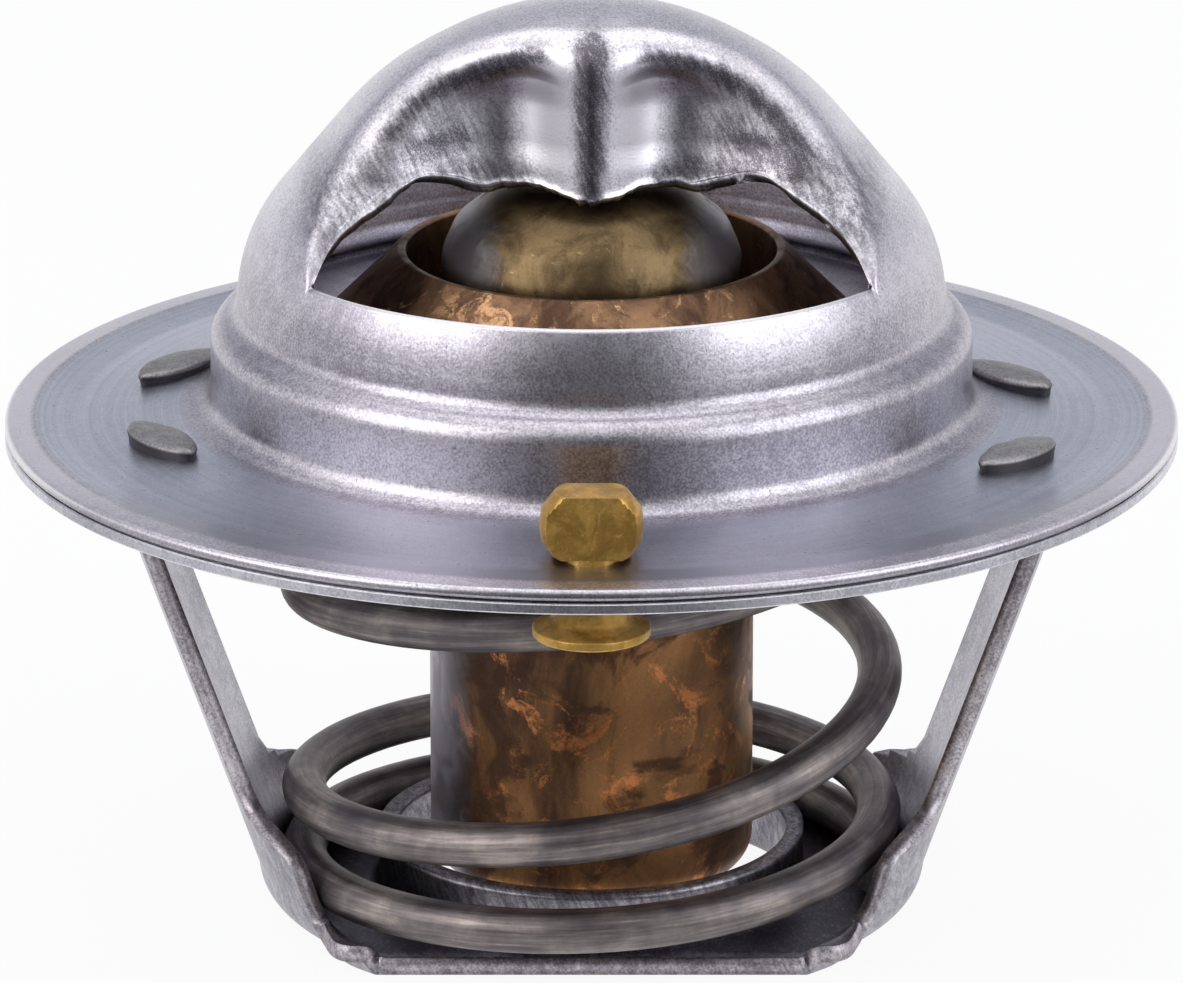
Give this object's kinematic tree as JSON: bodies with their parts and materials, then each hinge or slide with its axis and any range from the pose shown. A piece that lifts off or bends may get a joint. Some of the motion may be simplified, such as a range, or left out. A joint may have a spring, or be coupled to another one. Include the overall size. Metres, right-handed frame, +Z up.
{
  "type": "engine thermostat",
  "caption": "Round flanged coolant valve with a domed bridge, a wax element with a conical valve, a coil spring, a U-shaped lower frame and a loose vent pin.",
  "frame": {"origin": "on the element's axis, at the underside of the lower frame's base", "axes": "+Z up along the element's axis towards the bridge's crown; the legs are at -X and +X, the vent pin at -Y"},
  "size_m": [0.054, 0.054, 0.043],
  "materials": {
    "bridge_steel": "satin, lightly speckled",
    "seat_steel": "satin",
    "frame_steel": "satin with darker sheared edges",
    "spring_steel": "oiled, drawn wire",
    "valve_copper_alloy": "heat darkened, rubbed bright in patches",
    "guide_brass": "mottled satin",
    "cup_copper_alloy": "mottled, tarnished",
    "jiggle_brass": "satin",
    "pin_steel": "ground",
    "boot_rubber": "matt",
    "washer_plastic": "matt",
    "wax": "matt"
  },
  "bodies": {
    "housing": {"bridge": "bridge_steel", "seat_ring": "seat_steel", "lower_frame": "frame_steel", "piston_pin": "pin_steel", "main_spring": "spring_steel"},
    "element": {"valve_cone": "valve_copper_alloy", "wax_cup": "cup_copper_alloy", "element_guide": "guide_brass", "chafing_washer": "washer_plastic", "rubber_boot": "boot_rubber", "wax_charge": "wax"},
    "vent_pin": {"jiggle_pin": "jiggle_brass"}
  },
  "joints": [
    {"name": "valve_lift", "type": "slide", "parent": "housing", "child": "element", "axis": [0, 0, -1], "range_m": [0, 0.008], "stiffness_N_per_m": 4000, "springref_m": -0.01, "deforming": ["main_spring"]},
    {"name": "vent_pin_slide", "type": "slide", "parent": "housing", "child": "vent_pin", "axis": [0, 0, 1], "range_m": [0, 0.0012]}
  ]
}
